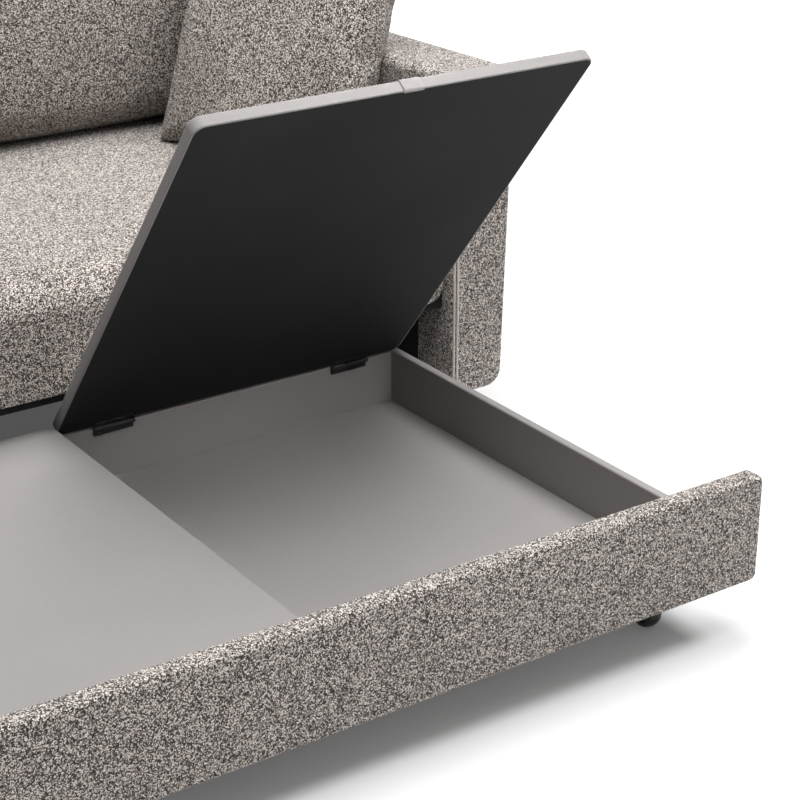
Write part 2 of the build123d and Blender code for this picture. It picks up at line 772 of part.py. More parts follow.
def back_cushion():
    """The right back cushion, full in the middle and drawn in at its ends."""
    start = CUSHION_GAP / 2
    span = cushion_end - start
    stations = [(0.0, 1.0), (0.012, 0.5), (0.035, 0.2), (0.08, 0.06), (0.16, 0.0)]
    stations += [(1 - share, draw) for share, draw in reversed(stations)]
    sections = [cushion_section(start + share * span, draw * CUSHION_END_DRAW) for share, draw in stations]
    return loft(sections, ruled=True)


def pillow_section(across_share):
    """A lens through the throw pillow, at a share of its half width from the middle."""
    full = (1 - across_share**2) ** PILLOW_FULLNESS
    half_height = PILLOW_SIZE / 2 - PILLOW_DRAW_IN * (1 - across_share**2)
    half_thick = PILLOW_SEAM / 2 + (PILLOW_THICK - PILLOW_SEAM) / 2 * full
    edges = [
        ThreePointArc((0, -half_height), (-half_thick, 0), (0, half_height)),
        ThreePointArc((0, half_height), (half_thick, 0), (0, -half_height)),
    ]
    reach = across_share * (PILLOW_SIZE / 2)
    return Plane.YZ.offset(reach) * make_face(edges)


def throw_pillow():
    """A square pillow with drawn-in sides, leaning in the corner against the right arm."""
    shares = [-1.0, -0.94, -0.75, -0.4, 0.0, 0.4, 0.75, 0.94, 1.0]
    pillow = loft([pillow_section(share) for share in shares])
    pillow = Pos(0, 0, PILLOW_SIZE / 2) * pillow
    pillow = Rot(0, 0, -PILLOW_TURN) * Rot(-PILLOW_LEAN, 0, 0) * pillow
    turn = math.radians(PILLOW_TURN)
    place_x = arm_in - PILLOW_FROM_ARM + math.cos(turn) * PILLOW_SIZE / 2
    place_y = back_front - PILLOW_FROM_BACK - math.sin(turn) * PILLOW_SIZE / 2
    return Pos(place_x, place_y, cushion_low - pillow.bounding_box().min.Z) * pillow


# Every node of the part, by name

nodes = {
    "drawer_floor": drawer_floor(),
    "drawer_wall_right": drawer_side_wall(),
    "drawer_wall_left": mirrored(drawer_side_wall()),
    "drawer_rear_wall": drawer_rear_wall(),
    "drawer_front_wall": drawer_front_wall(),
    "drawer_dividers": group([drawer_divider(), mirrored(drawer_divider())]),
    "front_panel_board": panel_board(),
    "front_panel_cover": panel_cover(),
    "front_panel_bolts": panel_bolts(),
    "caster_axles": group([Pos(x, y) * caster_axle() for x, y in caster_spots.values()]),
    "caster_forks": group([Pos(x, y) * caster_fork() for x, y in caster_spots.values()]),
    "arm_frame_right": arm_frame(),
    "arm_frame_left": mirrored(arm_frame()),
    "arm_cover_right": arm_cover(),
    "arm_cover_left": mirrored(arm_cover()),
    "arm_linings": group([arm_lining(), mirrored(arm_lining())]),
    "frame_bolts": frame_bolts(),
    "seat_front_rail": front_rail(),
    "seat_rear_rail": rear_rail(),
    "seat_side_rails": group([side_rail(), mirrored(side_rail())]),
    "seat_cross_rails": cross_rails(),
    "seat_webbing": seat_webbing(),
    "seat_dust_cover": dust_cover(),
    "bench_seat": bench_seat(),
    "back_frame": back_frame(),
    "back_cover": back_cover(),
    "back_cushion_right": back_cushion(),
    "back_cushion_left": mirrored(back_cushion()),
    "throw_pillow": throw_pillow(),
}

for spot, (x, y) in caster_spots.items():
    nodes[f"caster_wheel_{spot}"] = Pos(x, y) * caster_wheel()

hinge_places = [
    side * lid_pitch + sign * HINGE_OFFSET
    for side in LID_SIDES.values()
    for sign in side_signs.values()
]
nodes["hinge_wall_leaves"] = group([Pos(x, 0) * wall_leaf() for x in hinge_places])
nodes["hinge_pins"] = group([Pos(x, 0) * hinge_pin() for x in hinge_places])

for name, side in LID_SIDES.items():
    leaves = group([Pos(sign * HINGE_OFFSET, 0) * lid_leaf() for sign in side_signs.values()])
    pieces = {
        "lid_board": lid_board(),
        "lid_cover": lid_cover(),
        "lid_backing": lid_backing(),
        "lid_pull_tab": pull_tab(),
        "lid_hinge_leaves": leaves,
    }
    for piece_name, piece in pieces.items():
        placed = Pos(side * lid_pitch, 0) * piece
        nodes[f"{piece_name}_{name}"] = opened(placed) if name == OPEN_LID else placed

foot_bolts = []
glides = []
for row, y in foot_rows.items():
    for side, sign in side_signs.items():
        turned = mirrored if sign < 0 else (lambda piece: piece)
        nodes[f"foot_{row}_{side}"] = turned(foot(y))
        foot_bolts.append(turned(foot_bolt(y, FOOT_BOLT_RADIUS)))
        glides.append(turned(glide(y)))
nodes["foot_bolts"] = group(foot_bolts)
nodes["foot_glides"] = group(glides)

os.makedirs("parts", exist_ok=True)
for name, shape in nodes.items():
    export_step(shape, f"parts/{name}.step")
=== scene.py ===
"""Storage sofa bed: boucle upholstery, grey storage lids and hardware dressed around the solid frame."""

import json
import logging
import math
from dataclasses import dataclass, field
from enum import Enum

import bmesh
import bpy
from mathutils import Matrix, Vector, noise


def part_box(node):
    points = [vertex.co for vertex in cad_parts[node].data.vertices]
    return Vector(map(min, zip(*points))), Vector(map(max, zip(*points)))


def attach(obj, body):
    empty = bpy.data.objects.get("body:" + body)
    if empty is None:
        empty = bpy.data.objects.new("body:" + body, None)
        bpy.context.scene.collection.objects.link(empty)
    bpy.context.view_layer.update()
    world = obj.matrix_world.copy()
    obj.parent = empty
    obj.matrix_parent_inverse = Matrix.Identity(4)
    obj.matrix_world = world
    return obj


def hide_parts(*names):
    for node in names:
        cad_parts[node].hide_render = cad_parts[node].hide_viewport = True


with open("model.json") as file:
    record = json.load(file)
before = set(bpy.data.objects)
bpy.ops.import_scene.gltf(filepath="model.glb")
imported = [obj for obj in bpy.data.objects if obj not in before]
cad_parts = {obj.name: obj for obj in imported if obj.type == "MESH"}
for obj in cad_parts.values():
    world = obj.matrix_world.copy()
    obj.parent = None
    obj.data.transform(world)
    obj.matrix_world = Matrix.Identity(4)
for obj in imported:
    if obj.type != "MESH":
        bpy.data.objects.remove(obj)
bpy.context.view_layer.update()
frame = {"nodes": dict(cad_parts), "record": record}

JOINTS = {joint["name"]: joint for joint in frame["record"]["behaviour"]["joints"]}
MM = 0.001
log = logging.getLogger("sofa")

Colour = tuple[float, float, float]
Shape = bmesh.types.BMesh
Piece = bpy.types.Object
Socket = bpy.types.NodeSocket


class Slot(Enum):
    """The record's material slots, listed beside the lids' pieces but given to none."""

    BOUCLE = "boucle"
    LID_FABRIC = "lid_fabric"
    WEBBING = "webbing"
    BLACK_METAL = "black_metal"


class Side(Enum):
    """The sofa's two ends, with the sign of X there."""

    LEFT = -1
    RIGHT = 1

    @property
    def word(self) -> str:
        """The side's name in node names."""
        return self.name.lower()


class Graph:
    """A shader tree with short calls that add and join nodes."""

    def __init__(self, tree: bpy.types.NodeTree) -> None:
        """Keeps the tree that the calls add to."""
        self.tree = tree

    def node(self, kind: str, inputs: dict | None = None, **settings) -> bpy.types.Node:
        """Adds a node.

        Args:
            kind: The node's type name.
            inputs: Input socket names or numbers, with a value or an output socket each.
            settings: The node's own properties.

        Returns:
            The new node.
        """
        made = self.tree.nodes.new(kind)
        for name, value in settings.items():
            setattr(made, name, value)
        self.feed(made, inputs or {})
        return made

    def feed(self, node: bpy.types.Node, inputs: dict) -> None:
        """Gives a node's inputs, by socket name or number, a value or an output socket each."""
        for key, value in inputs.items():
            if isinstance(value, Socket):
                self.tree.links.new(value, node.inputs[key])
            else:
                node.inputs[key].default_value = value

    def math(self, operation: str, first, second=0.0) -> Socket:
        """The result of a math operation on two values or sockets."""
        return self.node("ShaderNodeMath", {0: first, 1: second}, operation=operation).outputs[0]

    def scale(self, vector, factor) -> Socket:
        """A vector multiplied by one factor."""
        inputs = {"Vector": vector, "Scale": factor}
        return self.node("ShaderNodeVectorMath", inputs, operation="SCALE").outputs[0]

    def stretch(self, vector, factors: tuple[float, float, float]) -> Socket:
        """A vector multiplied by a factor for each axis."""
        return self.node("ShaderNodeVectorMath", {0: vector, 1: factors}, operation="MULTIPLY").outputs[0]

    def add(self, first, second) -> Socket:
        """The sum of two vectors."""
        return self.node("ShaderNodeVectorMath", {0: first, 1: second}, operation="ADD").outputs[0]

    def weigh(self, first, share: float, second, rest: float) -> Socket:
        """The sum of two values, each multiplied by its share."""
        return self.math("ADD", self.math("MULTIPLY", first, share), self.math("MULTIPLY", second, rest))

    def ramp(
        self, value, low: float, high: float, start: float = 0.0, end: float = 1.0
    ) -> Socket:
        """A smooth step of a value from low to high, given out from start to end."""
        inputs = {0: value, 1: low, 2: high, 3: start, 4: end}
        return self.node("ShaderNodeMapRange", inputs, interpolation_type="SMOOTHSTEP").outputs[0]

    def blend(self, factor, first, second) -> Socket:
        """A colour between two colours."""
        return self.node("ShaderNodeMix", {0: factor, 6: first, 7: second}, data_type="RGBA").outputs[2]

    def noise(self, vector, scale: float, detail: float = 2.0) -> bpy.types.Node:
        """A noise texture on a vector."""
        return self.node("ShaderNodeTexNoise", {"Vector": vector, "Scale": scale, "Detail": detail})

    def cells(self, vector, scale: float, randomness: float) -> bpy.types.Node:
        """A cell texture on a vector."""
        inputs = {"Vector": vector, "Scale": scale, "Randomness": randomness}
        return self.node("ShaderNodeTexVoronoi", inputs)


SURFACE = {"Color": "NodeSocketColor", "Height": "NodeSocketFloat", "Roughness": "NodeSocketFloat"}


class Surface(Graph):
    """A surface's shader group: from a place, a pitch and colours to a colour, a height and a roughness."""

    def __init__(self, name: str, *colours: str) -> None:
        """Starts the group.

        Args:
            name: The group's name.
            colours: The names of its colour inputs.
        """
        super().__init__(bpy.data.node_groups.new(name, "ShaderNodeTree"))
        inputs = {"Vector": "NodeSocketVector", "Pitch": "NodeSocketFloat"}
        inputs.update(dict.fromkeys(colours, "NodeSocketColor"))
        for way, sockets in (("INPUT", inputs), ("OUTPUT", SURFACE)):
            for label, kind in sockets.items():
                self.tree.interface.new_socket(name=label, in_out=way, socket_type=kind)
        self.given = self.tree.nodes.new("NodeGroupInput").outputs
        self.result = self.tree.nodes.new("NodeGroupOutput")
        self.place = self.given["Vector"]
        self.spread = self.scale(self.place, self.math("DIVIDE", 1.0, self.given["Pitch"]))

    def give(self, colour, height, roughness) -> bpy.types.NodeTree:
        """Joins the results to the group's outputs and returns its tree."""
        self.feed(self.result, {"Color": colour, "Height": height, "Roughness": roughness})
        return self.tree


def loop_pile() -> bpy.types.NodeTree:
    """The looped boucle yarn: a dome for each loop, mixed at random from dark to cream, with painted shade
    in the gaps between; its darkest and lightest tones also paint shade and sheen on the loops.
    """
    yarn = Surface("loop_pile", "Dark", "Middle", "Light")
    drift = yarn.noise(yarn.spread, 0.3).outputs["Color"]
    curled = yarn.add(yarn.spread, yarn.scale(drift, 2.6))
    loops = yarn.cells(yarn.stretch(curled, (1.0, 0.9, 0.85)), 1.0, 1.0)
    curls = yarn.cells(curled, 2.4, 1.0)
    pick = yarn.node("ShaderNodeSeparateColor", {0: loops.outputs["Color"]}).outputs[0]
    cloud = yarn.noise(yarn.spread, 0.16, 3.0).outputs["Fac"]
    tone = yarn.weigh(pick, 0.94, cloud, 0.12)
    body = yarn.blend(yarn.ramp(tone, 0.3, 0.5), yarn.given["Dark"], yarn.given["Middle"])
    body = yarn.blend(yarn.ramp(tone, 0.53, 0.73), body, yarn.given["Light"])
    # painted shade: the gaps between the loops are darkened towards the dark colour
    painted_gap_shade = yarn.ramp(loops.outputs["Distance"], 0.42, 0.82, 0.0, 0.85)
    dome = yarn.math("SUBTRACT", 1.0, loops.outputs["Distance"])
    twist = yarn.math("MULTIPLY", curls.outputs["Distance"], 0.35)
    return yarn.give(
        yarn.blend(painted_gap_shade, body, yarn.given["Dark"]), yarn.math("SUBTRACT", dome, twist),
        yarn.ramp(pick, 0.0, 1.0, 0.86, 0.97),
    )


def fine_weave() -> bpy.types.NodeTree:
    """A fine flat weave with crossing threads and a soft mottle."""
    cloth = Surface("fine_weave", "Base", "Shade")
    warp = cloth.noise(cloth.stretch(cloth.spread, (0.12, 1.0, 1.0)), 1.0, 1.0).outputs["Fac"]
    weft = cloth.noise(cloth.stretch(cloth.spread, (1.0, 0.12, 0.4)), 1.0, 1.0).outputs["Fac"]
    threads = cloth.math("MAXIMUM", warp, weft)
    mottle = cloth.noise(cloth.place, 7.0, 4.0).outputs["Fac"]
    tone = cloth.ramp(cloth.weigh(threads, 0.6, mottle, 0.4), 0.36, 0.68)
    colour = cloth.blend(tone, cloth.given["Shade"], cloth.given["Base"])
    return cloth.give(colour, threads, cloth.ramp(mottle, 0.2, 0.8, 0.78, 0.92))


def pressed_fibre() -> bpy.types.NodeTree:
    """Non-woven sheet: tangled fibres pressed in a grid of small points."""
    sheet = Surface("pressed_fibre", "Base", "Shade")
    points = sheet.cells(sheet.spread, 1.0, 0.15).outputs["Distance"]
    fibres = sheet.noise(sheet.spread, 1.7, 4.0).outputs["Fac"]
    cloud = sheet.noise(sheet.place, 5.0, 3.0).outputs["Fac"]
    tone = sheet.ramp(sheet.weigh(fibres, 0.55, cloud, 0.45), 0.35, 0.7)
    colour = sheet.blend(tone, sheet.given["Shade"], sheet.given["Base"])
    height = sheet.math("ADD", sheet.ramp(points, 0.1, 0.35), sheet.math("MULTIPLY", fibres, 0.4))
    return sheet.give(colour, height, sheet.ramp(fibres, 0.3, 0.7, 0.7, 0.88))


def timber_grain() -> bpy.types.NodeTree:
    """Straight timber grain along Z with slow bands and fine pores."""
    wood = Surface("timber_grain", "Base", "Shade")
    bands = wood.noise(wood.stretch(wood.spread, (1.0, 1.0, 0.06)), 1.0, 3.0).outputs["Fac"]
    pores = wood.noise(wood.stretch(wood.spread, (9.0, 9.0, 0.35)), 1.0, 2.0).outputs["Fac"]
    tone = wood.ramp(wood.weigh(bands, 0.7, pores, 0.3), 0.38, 0.66)
    colour = wood.blend(tone, wood.given["Shade"], wood.given["Base"])
    return wood.give(colour, pores, wood.ramp(pores, 0.3, 0.7, 0.38, 0.55))


def moulded_skin() -> bpy.types.NodeTree:
    """Moulded or painted skin: a faint orange peel with dulled, lighter patches."""
    skin = Surface("moulded_skin", "Base", "Shade")
    peel = skin.noise(skin.spread, 1.0, 2.0).outputs["Fac"]
    rubbed = skin.noise(skin.spread, 0.12, 4.0).outputs["Fac"]
    colour = skin.blend(skin.ramp(rubbed, 0.42, 0.75), skin.given["Base"], skin.given["Shade"])
    return skin.give(colour, peel, skin.ramp(rubbed, 0.3, 0.75, 0.22, 0.5))


GROUPS = {
    "loop_pile": loop_pile(),
    "fine_weave": fine_weave(),
    "pressed_fibre": pressed_fibre(),
    "timber_grain": timber_grain(),
    "moulded_skin": moulded_skin(),
}


@dataclass(frozen=True)
class Finish:
    """One finish: a surface group with its colours, relief and plain shader values."""

    name: str
    group: str
    pitch: float
    colours: dict[str, Colour] = field(hash=False)
    relief: float = 0.5
    depth: float = 0.5 * MM
    sheen: float = 0.0
    specular: float = 0.5
    metal: float = 0.0

    def material(self) -> bpy.types.Material:
        """The finish as a material, made once."""
        known = bpy.data.materials.get(self.name)
        if known:
            return known
        made = bpy.data.materials.new(self.name)
        made.use_nodes = True
        graph = Graph(made.node_tree)
        shader = made.node_tree.nodes["Principled BSDF"]
        place = graph.node("ShaderNodeTexCoord").outputs["Object"]
        skin = graph.node("ShaderNodeGroup", node_tree=GROUPS[self.group])
        colours = {label: (*colour, 1.0) for label, colour in self.colours.items()}
        graph.feed(skin, {"Vector": place, "Pitch": self.pitch, **colours})
        relief = {"Height": skin.outputs["Height"], "Strength": self.relief, "Distance": self.depth}
        bump = graph.node("ShaderNodeBump", relief)
        graph.feed(shader, {
            "Base Color": skin.outputs["Color"], "Roughness": skin.outputs["Roughness"],
            "Normal": bump.outputs["Normal"], "Sheen Weight": self.sheen,
            "Specular IOR Level": self.specular, "Metallic": self.metal,
        })
        return made


# Dark and Light go past the yarn's own dark and cream loops: the near-black paints shade on the loops and
# the near-white paints their sheen.
BOUCLE = Finish(
    "boucle_taupe", "loop_pile", 1.6 * MM,
    {"Dark": (0.026, 0.02, 0.017), "Middle": (0.33, 0.285, 0.257), "Light": (0.98, 0.895, 0.825)},
    relief=1.0, depth=2.2 * MM, sheen=0.2, specular=0.15,
)
# The piping is lighter than the boucle around it: part of this lightness is a painted highlight on the
# raised ridges.
PIPING = Finish(
    "seam_piping", "fine_weave", 1.2 * MM,
    {"Base": (0.60, 0.545, 0.505), "Shade": (0.42, 0.375, 0.345)},
    relief=0.6, depth=0.4 * MM, sheen=0.2, specular=0.15,
)
GREY_FABRIC = Finish(
    "lid_fabric_grey", "fine_weave", 0.9 * MM,
    {"Base": (0.25, 0.237, 0.232), "Shade": (0.232, 0.22, 0.215)},
    relief=0.35, depth=0.25 * MM, sheen=0.15, specular=0.2,
)
# Lighter than the lids' grey cloth: part of this lightness is painted light that makes up for the shade the
# open lid casts inside the drawer.
LINING = Finish(
    "drawer_lining_grey", "fine_weave", 0.8 * MM,
    {"Base": (0.29, 0.275, 0.269), "Shade": (0.272, 0.257, 0.252)},
    relief=0.2, depth=0.2 * MM, specular=0.25,
)
BACKING = Finish(
    "backing_black", "pressed_fibre", 1.8 * MM,
    {"Base": (0.026, 0.026, 0.026), "Shade": (0.019, 0.019, 0.019)},
    relief=0.45, depth=0.3 * MM, specular=0.12,
)
WEBBING = Finish(
    "tab_webbing", "fine_weave", 1.6 * MM,
    {"Base": (0.27, 0.256, 0.254), "Shade": (0.235, 0.223, 0.22)},
    relief=0.6, depth=0.5 * MM, specular=0.2,
)
STITCH = Finish(
    "seam_thread", "fine_weave", 0.6 * MM,
    {"Base": (0.50, 0.47, 0.45), "Shade": (0.36, 0.335, 0.32)},
    relief=0.4, depth=0.2 * MM, specular=0.2,
)
BOARD = Finish(
    "plain_timber", "timber_grain", 26 * MM,
    {"Base": (0.56, 0.43, 0.29), "Shade": (0.42, 0.30, 0.19)},
    relief=0.25, depth=0.2 * MM, specular=0.3,
)
FOOT_WOOD = Finish(
    "foot_wood_pale", "timber_grain", 14 * MM,
    {"Base": (0.68, 0.51, 0.33), "Shade": (0.53, 0.37, 0.22)},
    relief=0.2, depth=0.15 * MM, specular=0.45,
)
BLACK_METAL = Finish(
    "black_lacquer", "moulded_skin", 2.5 * MM,
    {"Base": (0.012, 0.012, 0.013), "Shade": (0.03, 0.03, 0.031)},
    relief=0.15, depth=0.1 * MM, specular=0.5,
)
STEEL = Finish(
    "zinc_steel", "moulded_skin", 1.6 * MM,
    {"Base": (0.56, 0.56, 0.57), "Shade": (0.42, 0.42, 0.43)},
    relief=0.1, depth=0.05 * MM, metal=1.0,
)
BLACK_PLASTIC = Finish(
    "caster_black", "moulded_skin", 3.0 * MM,
    {"Base": (0.01, 0.01, 0.011), "Shade": (0.022, 0.022, 0.023)},
    relief=0.1, depth=0.08 * MM, specular=0.6,
)
GLIDE = Finish(
    "glide_grey", "moulded_skin", 1.5 * MM,
    {"Base": (0.06, 0.06, 0.06), "Shade": (0.09, 0.09, 0.09)},
    relief=0.2, depth=0.1 * MM, specular=0.3,
)


def mesh_of(name: str, shape: Shape) -> bpy.types.Mesh:
    """A mesh from a shape, which is freed."""
    mesh = bpy.data.meshes.new(name)
    shape.to_mesh(mesh)
    shape.free()
    return mesh


def show(name: str, data: bpy.types.ID) -> Piece:
    """A new object in the scene for some data."""
    obj = bpy.data.objects.new(name, data)
    bpy.context.scene.collection.objects.link(obj)
    return obj


def dress(node: str, finish: Finish) -> None:
    """Gives a solid node a finish, in place of its plain one."""
    obj = frame["nodes"][node]
    if not obj.material_slots:
        obj.data.materials.append(None)
    for place in obj.material_slots:
        place.material = finish.material()
    log.info("dressed %s with %s", node, finish.name)


def add_piece(
    name: str, shape: Shape, finish: Finish, body: str,
    stands_for: tuple[str, ...] = (),
) -> Piece:
    """Turns a shape into a piece of the sofa.

    Args:
        name: The piece's name.
        shape: Its shape in the shared frame, which is freed.
        finish: Its finish.
        body: The body that it moves with.
        stands_for: Solid nodes that it is shown in place of.

    Returns:
        The piece's object.
    """
    mesh = mesh_of(name, shape)
    mesh.materials.append(finish.material())
    mesh.polygons.foreach_set("use_smooth", [True] * len(mesh.polygons))
    obj = show(name, mesh)
    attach(obj, body)
    if stands_for:
        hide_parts(*stands_for)
    log.info("made %s with %d faces on %s", name, len(mesh.polygons), body)
    return obj


def even_light(obj: Piece) -> None:
    """Keeps a piece's flat faces flat in the light beside their rounded edges."""
    obj.modifiers.new("even_light", "WEIGHTED_NORMAL")


def near(value: float, target: float) -> bool:
    """Whether two lengths are the same within a few microns."""
    return abs(value - target) < 5e-6


def prism(corners: list[Vector], run: Vector) -> Shape:
    """A closed bar from a polygon.

    Args:
        corners: The polygon's corners in order.
        run: The way and length that it is drawn out.

    Returns:
        The bar, with its faces outwards.
    """
    shape = bmesh.new()
    face = shape.faces.new([shape.verts.new(corner) for corner in corners])
    grown = bmesh.ops.extrude_face_region(shape, geom=[face])["geom"]
    bmesh.ops.translate(shape, verts=only_verts(grown), vec=run)
    bmesh.ops.recalc_face_normals(shape, faces=shape.faces)
    return shape


def slab(low: Vector, high: Vector, axis: int) -> Shape:
    """A block between two corners.

    Args:
        low: The lowest corner.
        high: The highest corner.
        axis: The axis that it is drawn out along.

    Returns:
        The block, with its faces outwards.
    """
    first, second = (number for number in range(3) if number != axis)
    corners = []
    for near_end, far_end in ((low, low), (high, low), (high, high), (low, high)):
        corner = low.copy()
        corner[first] = near_end[first]
        corner[second] = far_end[second]
        corners.append(corner)
    run = Vector((0, 0, 0))
    run[axis] = high[axis] - low[axis]
    return prism(corners, run)


def edges_at(shape: Shape, y: float, z: float) -> list:
    """The edges along X that lie at one place in Y and Z."""
    return [edge for edge in shape.edges if all(near(v.co.y, y) and near(v.co.z, z) for v in edge.verts)]


def edges_along(shape: Shape, axis: int, least: float) -> list:
    """The edges that run further than a least length along an axis."""
    return [edge for edge in shape.edges if abs(edge.verts[0].co[axis] - edge.verts[1].co[axis]) > least]


def only_verts(geometry: list) -> list:
    """The points among some geometry."""
    return [part for part in geometry if isinstance(part, bmesh.types.BMVert)]


def round_edges(shape: Shape, edges: list, radius: float, steps: int) -> None:
    """Rounds edges to a radius in steps."""
    bmesh.ops.bevel(
        shape, geom=edges, offset=radius, offset_type="OFFSET", segments=steps, profile=0.5, affect="EDGES",
        material=-1, clamp_overlap=True,
    )


def rim(shape: Shape, axis: int, place: float) -> list:
    """The edges that lie in a plane across an axis and bound its face."""
    found = []
    for edge in shape.edges:
        if all(near(vert.co[axis], place) for vert in edge.verts):
            sides = [all(near(v.co[axis], place) for v in face.verts) for face in edge.link_faces]
            if sum(sides) == 1:
                found.append(edge)
    return found


def slice_up(shape: Shape, axis: int, places: list[float]) -> None:
    """Cuts edge loops through a shape across an axis."""
    way = Vector([float(axis == number) for number in range(3)])
    for place in places:
        geometry = shape.verts[:] + shape.edges[:] + shape.faces[:]
        bmesh.ops.bisect_plane(shape, geom=geometry, plane_co=way * place, plane_no=way, dist=1e-6)


def spaced(start: float, end: float, count: int) -> list[float]:
    """Places that divide a run evenly, without its ends."""
    return [start + (end - start) * (number + 1) / (count + 1) for number in range(count)]


def ease(value: float) -> float:
    """A smooth step of a value held between 0 and 1."""
    held = min(max(value, 0.0), 1.0)
    return held * held * (3 - 2 * held)


def mirror(shape: Shape) -> None:
    """Turns a shape over to the sofa's other side."""
    for vert in shape.verts:
        vert.co.x = -vert.co.x
    bmesh.ops.reverse_faces(shape, faces=shape.faces)


def shape_of(obj: Piece) -> Shape:
    """A copy of an object's mesh with its loose triangles joined."""
    shape = bmesh.new()
    shape.from_mesh(obj.data)
    bmesh.ops.transform(shape, matrix=obj.matrix_world, verts=shape.verts)
    bmesh.ops.remove_doubles(shape, verts=shape.verts, dist=1e-5)
    return shape


def tube(points: list[Vector], radius: float) -> Shape:
    """A round welt along a line of points."""
    line = bpy.data.curves.new("welt_line", "CURVE")
    line.dimensions = "3D"
    line.bevel_depth = radius
    line.bevel_resolution = 2
    line.use_fill_caps = True
    run = line.splines.new("POLY")
    run.points.add(len(points) - 1)
    for spot, point in zip(run.points, points):
        spot.co = (*point, 1.0)
    holder = bpy.data.objects.new("welt_line", line)
    mesh = bpy.data.meshes.new_from_object(holder)
    shape = bmesh.new()
    shape.from_mesh(mesh)
    bpy.data.objects.remove(holder)
    bpy.data.curves.remove(line)
    bpy.data.meshes.remove(mesh)
    bmesh.ops.remove_doubles(shape, verts=shape.verts, dist=1e-6)
    bmesh.ops.recalc_face_normals(shape, faces=shape.faces)
    return shape


@dataclass
class Stuffing:
    """How a covered shape is filled out as cloth and held in its place."""

    pressure: float
    cap: float
    frames: int = 20
    voxel: float = 0.0
    shrink: float = 0.0
    fit: tuple[Vector, Vector] | None = None
    lowest: Vector | None = None
    highest: Vector | None = None
    quality: int = 4
    panel_share: float = 0.02

    def loose(self, shape: Shape) -> Piece:
        """Puts a shape, which is freed, into a loose object of its own."""
        return show("padding", mesh_of("padding", shape))

    def remesh(self, shape: Shape) -> Piece:
        """Draws a shape in a little and gives it an even net of faces.

        Args:
            shape: A closed shape, which is freed.

        Returns:
            A loose object with the new mesh.
        """
        shape.normal_update()
        moves = [(vert, vert.normal * -self.shrink) for vert in shape.verts]
        for vert, move in moves:
            vert.co += move
        obj = self.loose(shape)
        if self.voxel:
            net = obj.modifiers.new("net", "REMESH")
            net.mode = "VOXEL"
            net.voxel_size = self.voxel
            graph = bpy.context.evaluated_depsgraph_get()
            fresh = bpy.data.meshes.new_from_object(obj.evaluated_get(graph))
            obj.modifiers.clear()
            obj.data = fresh
        return obj

    def blow_up(self, obj: Piece, held: list[int] | None = None) -> None:
        """Runs the cloth with air inside and moves the mesh by what it did, within the cap.

        Args:
            obj: The loose object.
            held: Points that are sewn down and stay.
        """
        scene = bpy.context.scene
        cloth = obj.modifiers.new("cloth", "CLOTH")
        cloth.settings.use_pressure = True
        cloth.settings.uniform_pressure_force = self.pressure
        cloth.settings.effector_weights.gravity = 0.0
        cloth.settings.quality = self.quality
        if held:
            obj.vertex_groups.new(name="sewn").add(held, 1.0, "REPLACE")
            cloth.settings.vertex_group_mass = "sewn"
        cloth.point_cache.frame_start = 1
        cloth.point_cache.frame_end = self.frames
        for number in range(1, self.frames + 1):
            scene.frame_set(number)
        solved = obj.evaluated_get(bpy.context.evaluated_depsgraph_get()).data
        places = [vert.co.copy() for vert in solved.vertices]
        obj.modifiers.clear()
        scene.frame_set(1)
        for vert, place in zip(obj.data.vertices, places):
            move = place - vert.co
            if move.length > self.cap:
                move *= self.cap / move.length
            vert.co += move

    def settle(self, obj: Piece, smoothing: int, held: list[int]) -> Shape:
        """Smooths the filled shape, fits it to its box and keeps it inside its limits.

        Args:
            obj: The loose object, which is removed.
            smoothing: Rounds of smoothing.
            held: Points that the smoothing leaves alone.

        Returns:
            The finished shape.
        """
        shape = bmesh.new()
        shape.from_mesh(obj.data)
        bpy.data.objects.remove(obj)
        kept = set(held)
        free = [vert for number, vert in enumerate(shape.verts) if number not in kept]
        for _ in range(smoothing):
            bmesh.ops.smooth_vert(
                shape, verts=free, factor=0.5, use_axis_x=True, use_axis_y=True, use_axis_z=True,
            )
        if self.fit is not None:
            for axis in range(3):
                places = [vert.co[axis] for vert in shape.verts]
                start, end = self.fit[0][axis], self.fit[1][axis]
                share = (end - start) / (max(places) - min(places))
                first = min(places)
                for vert in shape.verts:
                    vert.co[axis] = start + (vert.co[axis] - first) * share
        for vert in shape.verts:
            for axis in range(3):
                if self.lowest is not None:
                    vert.co[axis] = max(vert.co[axis], self.lowest[axis])
                if self.highest is not None:
                    vert.co[axis] = min(vert.co[axis], self.highest[axis])
        return shape

    def pad(self, shape: Shape, smoothing: int = 4) -> Shape:
        """Fills out a loose cushion all over.

        Args:
            shape: The closed starting shape, which is freed.
            smoothing: Rounds of smoothing after the cloth.

        Returns:
            The padded shape.
        """
        obj = self.remesh(shape)
        self.blow_up(obj)
        return self.settle(obj, smoothing, [])

    def tauten(self, shape: Shape, cuts: Vector, smoothing: int = 5) -> Shape:
        """Fills out the flat panels of a covered block, whose rounded edges are sewn and stay.

        Args:
            shape: The closed block, which is freed.
            cuts: The size of the cloth's net along each axis.
            smoothing: Rounds of smoothing after the cloth.

        Returns:
            The covered shape.
        """
        panel = shape.faces.layers.int.new("panel")
        least = self.panel_share * sum(face.calc_area() for face in shape.faces)
        for face in shape.faces:
            face[panel] = int(face.calc_area() > least)
        for axis in range(3):
            places = [vert.co[axis] for vert in shape.verts]
            start, end = min(places), max(places)
            slice_up(shape, axis, spaced(start, end, max(round((end - start) / cuts[axis]) - 1, 0)))
        held = [
            number for number, vert in enumerate(shape.verts)
            if not all(face[panel] for face in vert.link_faces)
        ]
        obj = self.loose(shape)
        self.blow_up(obj, held)
        return self.settle(obj, smoothing, held)


def soften(obj: Piece, levels: int = 1) -> None:
    net = obj.modifiers.new("soften", "SUBSURF")
    net.levels = levels
    net.render_levels = levels


